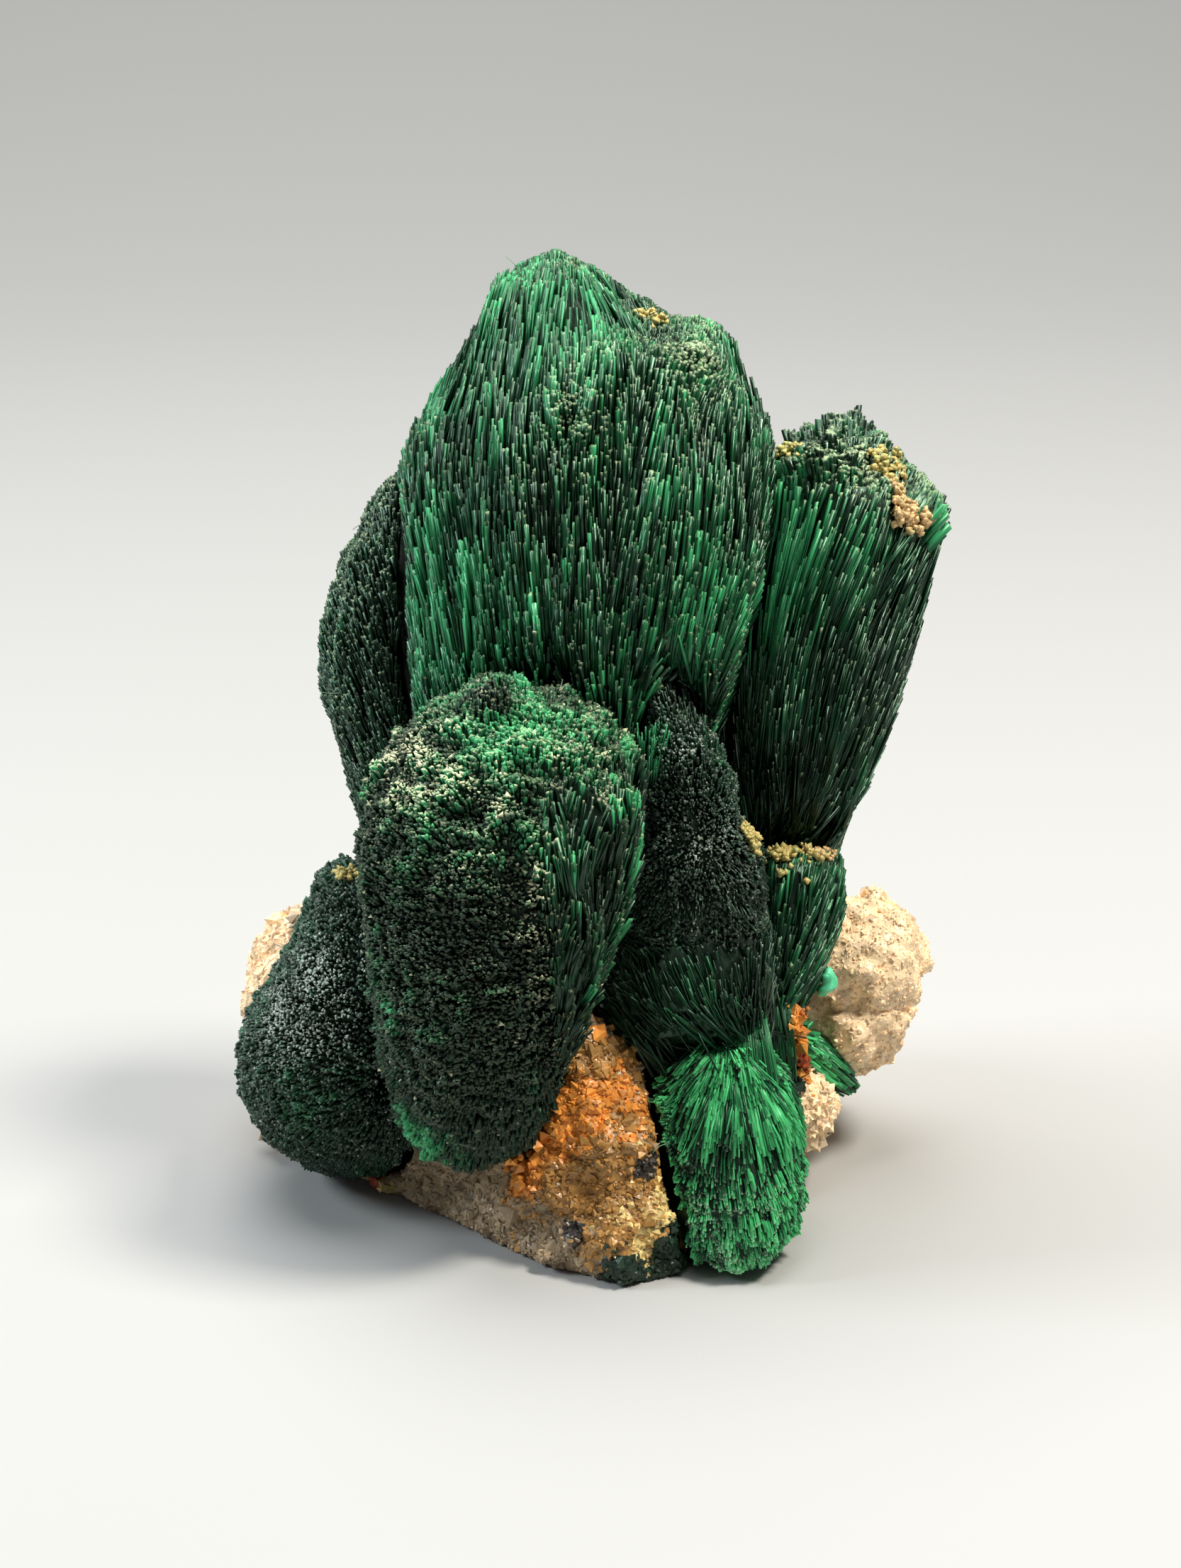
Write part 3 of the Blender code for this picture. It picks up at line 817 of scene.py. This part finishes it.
# The lower left spray: a velvety lobe of fine malachite ends that all stand on end, low over the rock's left.
# It has a cold pale bloom on its upper left, partly pale ends and partly a painted highlight from the cool
# light, and a patch of yellow crust on top.
velvet_green = fibre_finish("velvety green fibres", green_stops, 0.4, (0.62, 0.68, 0.60))
lower_habit = Habit(
    root=(-15.0, 2.0, 13.0), standing=(0.27, 2.4, 0.8), lie=lambda p: np.zeros(len(p)), cover=1.6,
    flute_size=6.0, stretch=1.6, bundle_step=0.3, end_step=0.15, standing_step=0.6,
)
lower_colour = coloured(
    0.16, 0.16, [((-24.5, -9.2, 21.5), 4.2, 1.3), ((-26, -9.6, 17), 3.5, 0.5)], painted_top_highlight=0.1, pale=0.1
)
lower_crust = [((-21.0, -0.9, 29.0), 1.2, 48, 0.35, YELLOW_TINT)]
spray("lower_left_spray", velvet_green, 15, lower_habit, lower_colour, crust=lower_crust)

# The middle spray: two near black velvety lobes over a fan of fine dark malachite fibres that run to one root
# above the bright foot. A wisp of bright strands shows between it and the front spray.
WISP_COUNT = 70
rng = np.random.default_rng(52)
across, along, light = rng.random((3, WISP_COUNT))
wisp_feet = np.stack([4.0 + 1.9 * across, -7.8 - 0.7 * across, 38.0 + 4.0 * along], 1)
wisp_ends = wisp_feet + np.stack([across - 0.3, np.full(WISP_COUNT, -0.5), 2.0 + 1.2 * light], 1)
wisp = list(zip(wisp_feet, wisp_ends, np.full(WISP_COUNT, 0.17), 0.6 + 0.39 * light))
middle_habit = Habit(
    root=(12.5, -7.0, 13.0), heart=(9.0, -3.0, 33.0), standing=(0.23, 2.4, 0.8), lying=(0.20, 5.0, 2.8),
    upward=0.25, lie=lambda p: step(p[:, 2], 29.0, 25.0), lie_tilt=0.08, least_tilt=0.06, cover=1.5,
    clear=0.4, flute=0.45, flute_size=6.0, stretch=3.0, bundle_step=0.4, standing_step=0.6,
)
# Its bright spots are partly the fibres' own bright tone and partly painted glints on the fan.
middle_colour = coloured(
    0.06, 0.12, [((5.5, -9, 45), 4.0, 0.4), ((8, -11, 35), 3.0, 0.25)], painted_top_highlight=0.12, pale=0.1,
    tone_and_painted_light_spots=[((4.6, -8, 43), 2.4, 0.7), ((13.9, -10.7, 17.9), 2.5, 0.55), ((8, -12, 22), 5.0, 0.2)],
)
middle_crust = [((13.4, -6.0, 34.0), 1.5, 90, 0.36, YELLOW_TINT)]
spray("middle_spray", velvet_green, 16, middle_habit, middle_colour, wisp, middle_crust)

# The column's foot: a short fan of straight dark malachite fibres below the break line of the column. The
# break has a pale yellow crust, and rust-coloured grains sit on the fan's lower end.
foot_habit = Habit(
    root=(14.0, -3.0, 12.0), standing=(0.24, 4.5, 3.0), upward=0.9, lie=lambda p: step(p[:, 2], 30.5, 29.5),
    lie_tilt=0.06, least_tilt=0.05, cover=2.6, sunk=0.3, core_depth=0.5, sides=4, slant=0.4,
    bundles=0.08, stretch=9.0, bundle_step=1.0,
)
foot_crust = [
    ((17.6, 1.0, 30.0), 2.6, 150, 0.4, YELLOW_TINT),
    ((20.5, 1.5, 29.8), 1.2, 42, 0.35, PEACH_TINT),
    ((17.5, -2.1, 15.0), 1.8, 130, 0.4, IRON_TINT),
    ((17.8, -2.3, 12.0), 1.6, 110, 0.4, IRON_TINT),
]
foot_colour = coloured(0.34, 0.16)
spray("column_foot_spray", silky_green, 17, foot_habit, foot_colour, crust=foot_crust)

# The bright foot: an emerald malachite fan that hangs from its root, with long combed fibres at the right and
# short ends at the left. Loose strands cover its root, and more run down beside it from the column's foot.
STRAND_COUNT = 64
bright_stops = [(0.0, DARK_GREEN), (0.30, DEEP_GREEN), (0.52, EMERALD), (1.0, (0.10, 0.72, 0.25))]
bright_green = fibre_finish("bright emerald fibres", bright_stops, 0.34, (0.66, 0.95, 0.66))
rng = np.random.default_rng(51)
across, along, light = rng.random((3, STRAND_COUNT))
level = np.zeros(STRAND_COUNT)
strand_widths = np.full(STRAND_COUNT, 0.18)
stem_feet = np.stack([12.3 + 2.4 * across, level - 8.6, 20.4 - 0.8 * across], 1)
stem_reach = np.stack([-0.3 + 2.8 * across, -8.9 - 0.8 * across, -11.0 + 0.6 * across], 1)
stem_ends = stem_feet + stem_reach * (0.3 + 0.3 * along)[:, None]
side_feet = np.stack([14.8 + 2.4 * across, level - 2.9, level + 18.4], 1)
side_reach = np.stack([0.3 + 0.8 * across, -5.7 + 2.2 * across, level - 8.5], 1)
side_ends = side_feet + side_reach * (0.4 + 0.45 * along)[:, None]
stem = list(zip(stem_feet, stem_ends, strand_widths, 0.3 + 0.5 * light))
stem += list(zip(side_feet, side_ends, strand_widths, 0.3 + 0.35 * light))
bright_habit = Habit(
    root=(12.4, -9.8, 19.6), heart=(11.0, -9.5, 9.5), standing=(0.20, 3.2, 1.5),
    lie=lambda p: step(p[:, 0] + 0.5 * p[:, 2], 10.5, 15.0) * (0.25 + 0.75 * step(p[:, 2], 6.5, 10.0)),
    lie_tilt=0.1, cover=2.7, sunk=0.3, deepest=0.4, core_depth=0.5, flute=0.3, flute_size=10.0, ripple=0.3,
    crest_painted_light=0.5, slant=0.5, stretch=6.0, bundle_splay=0.02, bundle_step=1.3, bundle_lift=0.2,
    end_step=0.5,
)
# Its pale spots on the lower half are partly pale ends and partly painted highlight; the spot with a minus
# strength there is painted shadow.
bright_colour = coloured(
    0.72, 0.36, [((12.7, -19.9, 7.8), 3.0, 0.9), ((11.5, -21, 4), 4.0, 0.8)], pale=0.1,
    tone_and_painted_light_spots=[((11.5, -21, 4), 4.0, -0.15), ((15, -17, 11), 4.0, 0.15), ((6.0, -14, 13), 3.0, 0.1)],
)
spray("bright_foot_spray", bright_green, 18, bright_habit, bright_colour, stem)

# The blade tuft: a flat green blade of malachite fibres laid side by side, which points down and to the right
# from under the column's foot.
blade_habit = Habit(
    root=(12.0, 2.0, 17.0), standing=(0.4, 3.2, 2.4), lie=lambda p: np.ones(len(p)), lie_tilt=0.06,
    least_tilt=0.05, cover=2.6, clear=0.12, voxel=0.5, sunk=0.05, core_depth=0.25, flute=0.1, sides=4,
    stretch=8.0, bundle_step=0.3, end_step=0.1,
)
blade_colour = coloured(0.62, 0.15, tone_and_painted_light_spots=[((18.6, 0.3, 12.6), 2.0, 0.25)])
spray("blade_tuft", bright_green, 19, blade_habit, blade_colour)

# The bead: a small dull ball of bright green malachite on the column's foot, slightly lumpy and mottled.
points, quads, normals = skin_of("green_bead", 0.3, 3)
points += normals * (hills(points, 1.3, 31) * 0.28)[:, None]
bead = new_mesh("green_bead_ball", points, [quads.astype(np.int64)])
bead_finish, tree, shader = new_material("dull green bead", Roughness=0.45, IOR=1.6)
mottle = node(tree, "TexNoise", None, node(tree, "TexCoord")[3], Scale=900.0, Detail=3.0)[0]
bead_colour = ramp(tree, [(0.3, (0.03, 0.42, 0.19)), (0.65, (0.16, 0.80, 0.44))], mottle)
tree.links.new(bead_colour.link, shader.inputs["Base Color"])
bead.data.materials.append(bead_finish)
bead.data.shade_smooth()
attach(bead, "root")
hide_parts("green_bead")

# The matrix rock: a lump of sugary quartz stained with iron, grey-tan low down, honey and orange under the
# front spray, cream on the knob at the right, and dark where the fibres have left a crust on it. Small near
# black spots are painted as the shadow in its holes. Its skin is roughened in three sizes, separate grains
# are set on it, and every face takes the hue of its zone.
GREY_TAN, HONEY, ORANGE, PALE_YELLOW, CREAM, IRON_RED, HOLE_SHADOW, GREEN_CRUST = range(8)
ROCK_HUES = [
    (0.34, 0.25, 0.15), (0.42, 0.22, 0.06), (0.74, 0.29, 0.05), (0.72, 0.55, 0.22),
    (1.0, 0.745, 0.47), (0.34, 0.055, 0.012), (0.035, 0.028, 0.022), (0.010, 0.030, 0.015),
]
ZONES = [
    (GREY_TAN, (-11.9, -9.8, 2.0), 7.0, 1.0), (GREY_TAN, (-3.0, -19.0, 2.0), 5.0, 0.9),
    (HONEY, (0.0, -18.0, 7.0), 6.0, 1.0), (ORANGE, (-2.5, -15.5, 12.5), 5.0, 1.2),
    (ORANGE, (-4.9, -15.9, 7.3), 1.6, 1.6), (HONEY, (-2.0, -13.7, 16.0), 4.0, 0.9),
    (PALE_YELLOW, (3.7, -19.9, 5.4), 4.0, 0.55), (HOLE_SHADOW, (-1.2, -19.4, 3.6), 1.1, 1.9),
    (HOLE_SHADOW, (4.4, -17.6, 8.7), 0.9, 1.7), (GREEN_CRUST, (3.0, -22.0, 0.5), 2.4, 1.4),
    (GREEN_CRUST, (8.0, -20.5, 1.5), 2.9, 1.4), (CREAM, (24.5, 6.0, 16.0), 11.0, 1.5),
    (CREAM, (-28.0, 9.0, 15.0), 9.0, 1.2), (IRON_RED, (17.5, -2.1, 14.0), 2.6, 1.9),
    (ORANGE, (20.0, -4.1, 8.4), 2.4, 0.8), (CREAM, (19.5, -3.5, 8.0), 3.2, 1.5),
    (GREEN_CRUST, (16.0, -5.0, 10.0), 3.5, 1.3), (GREY_TAN, (0.0, 22.0, 14.0), 26.0, 0.55),
    (HONEY, (10.0, 20.0, 20.0), 9.0, 0.6), (CREAM, (-14.0, 24.0, 10.0), 8.0, 0.6),
]
SUGARY_ZONES = [
    ((0, -17, 7), 12.0), ((-10, -12, 3), 8.0), ((24.5, 5, 16), 9.0), ((19.5, -3, 9), 4.0),
    ((-28, 7, 15), 6.0),
]
CLUSTERS = [
    (ORANGE, (-4.9, -15.9, 7.3), (0.75, 0.5, 1.0), 90),
    (CREAM, (-28.4, 4.8, 3.6), (0.9, 1.2, 1.1), 80),
    (ORANGE, (17.8, -3.0, 14.9), (0.35, 0.4, 1.2), 110),
    (IRON_RED, (18.1, -3.1, 12.0), (0.4, 0.4, 0.9), 70),
    (ORANGE, (18.5, -3.4, 10.3), (0.2, 0.2, 0.5), 30),
    (PALE_YELLOW, (-17.4, -4.3, 0.9), (0.6, 0.4, 0.3), 30),
    (IRON_RED, (-18.8, -3.7, 1.4), (0.4, 0.3, 0.4), 16),
]
KNOB_CENTRE = (24.5, 5.0, 16.0)
GRAIN_SIZE = 0.27
BIG_SHARE = 0.008


def hues_at(places, rng, patchy):
    """The hue of each place: the zone with the strongest pull, after a random and a patchy disturbance."""
    pull = np.zeros((len(places), len(ROCK_HUES)))
    for hue, *spot in ZONES:
        pull[:, hue] = np.maximum(pull[:, hue], glow(places, [spot]))
    for hue in range(len(ROCK_HUES)):
        pull[:, hue] += 0.16 * hills(places, 4.0, 60 + hue) * (pull[:, hue] > 0.02)
    return (pull + patchy * rng.gumbel(size=pull.shape) * (pull > 0.05)).argmax(1)


def within(places, centre, inner, outer):
    """1 nearer to the centre than inner, 0 beyond outer, with a smooth change between."""
    return step(np.linalg.norm(places - np.array(centre), axis=1), outer, inner)


def sugary(places):
    """1 in the zones of fine sugary grains, 0 where the rock is coarse."""
    return np.max([within(places, centre, radius * 0.8, radius * 1.3) for centre, radius in SUGARY_ZONES], 0)


rng = np.random.default_rng(41)
points, quads, normals = skin_of("matrix_rock", 0.62, 3)
above = step(points[:, 2], 0.0, 1.6)
rough = 0.6 * hills(points, 7.0, 21) + 0.5 * np.abs(hills(points, 3.2, 22)) + 0.18 * hills(points, 1.3, 23)
knob_lumps = 0.5 * np.abs(hills(points, 3.6, 26)) + 0.3 * np.abs(hills(points, 2.0, 27)) - 0.3
rough += knob_lumps * within(points, KNOB_CENTRE, 9.0, 11.0)
points += normals * (rough * above + 0.1 * above)[:, None]
points[:, 2] = np.maximum(points[:, 2], 0.0)
normals = normals_of(points, quads)
middles = points[quads].mean(1)
open_air = in_the_open("matrix_rock", middles, 0.4) * (middles[:, 2] > 0.4)
spots, spot_normals = scatter(points, quads, normals, open_air * (0.5 + 7.2 * sugary(middles)), rng)
sizes = GRAIN_SIZE * np.exp(rng.normal(size=len(spots)) * 0.35) * (2.4 - 1.4 * sugary(spots))
smooth = within(spots, KNOB_CENTRE, 9.0, 11.0)
sizes *= 1 - 0.45 * smooth
big = rng.random(len(spots)) < BIG_SHARE * (1 - smooth)
sizes = np.where(big, sizes * 1.8, sizes)
added = [np.array(centre) + rng.normal(size=(count, 3)) * spread for _, centre, spread, count in CLUSTERS]
added_hues = np.concatenate([np.full(count, hue) for hue, _, _, count in CLUSTERS])
added_sizes = rng.uniform(0.4, 0.8, len(added_hues))
spots = np.concatenate([spots - spot_normals * (sizes * 0.15)[:, None], *added])
sizes = np.concatenate([sizes, added_sizes])
spots[:, 2] = np.maximum(spots[:, 2], sizes)
grains, sides, chart = lumps(spots, sizes, 0.15, 0.85, rng)
grains[:, 2] = np.maximum(grains[:, 2], FLOOR_GAP)
hues = hues_at(spots, rng, 0.10)
hues[-len(added_hues):] = added_hues
grain_charts = in_cell(chart, rng.random(len(spots)) * 0.999, hues)
square = np.array([(0.1, 0.1), (0.9, 0.1), (0.9, 0.9), (0.1, 0.9)])
skin_shade = 0.4 + 0.25 * hills(middles, 2.0, 25) + 0.1 * rng.normal(size=len(middles))
skin_squares = np.broadcast_to(square, (len(quads), 1, 4, 2))
skin_chart = in_cell(skin_squares, np.clip(skin_shade, 0, 0.999), hues_at(middles, rng, 0.05))
rock_points = np.concatenate([points, grains])
rock_faces = [quads.astype(np.int64), sides.reshape(-1, 3) + len(points)]
rock = new_mesh("quartz_matrix_rock", rock_points, rock_faces, [skin_chart, grain_charts])
rock_finish, tree, shader = new_material("sugary stained quartz", Roughness=0.35, IOR=1.5)
cell_u, cell_v = chart_cells(tree)
hue_stops = [(max(0.0, (place - 0.3) / TINTS), hue) for place, hue in enumerate(ROCK_HUES)]
hue_colour = ramp(tree, hue_stops, cell_v.math("FLOOR") * (1.0 / TINTS), "CONSTANT")
place = node(tree, "TexCoord")[3]
stain = node(tree, "TexNoise", None, place, Scale=700.0, Detail=4.0)[0]
light = cell_u.math("FLOOR") * (0.7 / (SHADES - 1)) + (stain - 0.5) * 1.0 + 0.66
colour = dimmed(tree, hue_colour, light)
tree.links.new(colour.link, shader.inputs["Base Color"])
crystals = node(tree, "TexVoronoi", None, place, Scale=2400.0)[0]
tree.links.new((crystals * 0.4 + 0.2).link, shader.inputs["Roughness"])
rock_bump = node(tree, "Bump", None, Strength=0.55, Distance=0.0001, Height=crystals)[0]
tree.links.new(rock_bump.link, shader.inputs["Normal"])
rock.data.materials.append(rock_finish)
rock.data.polygons.foreach_set("use_smooth", np.arange(len(rock.data.polygons)) < len(quads))
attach(rock, "root")
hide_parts("matrix_rock")
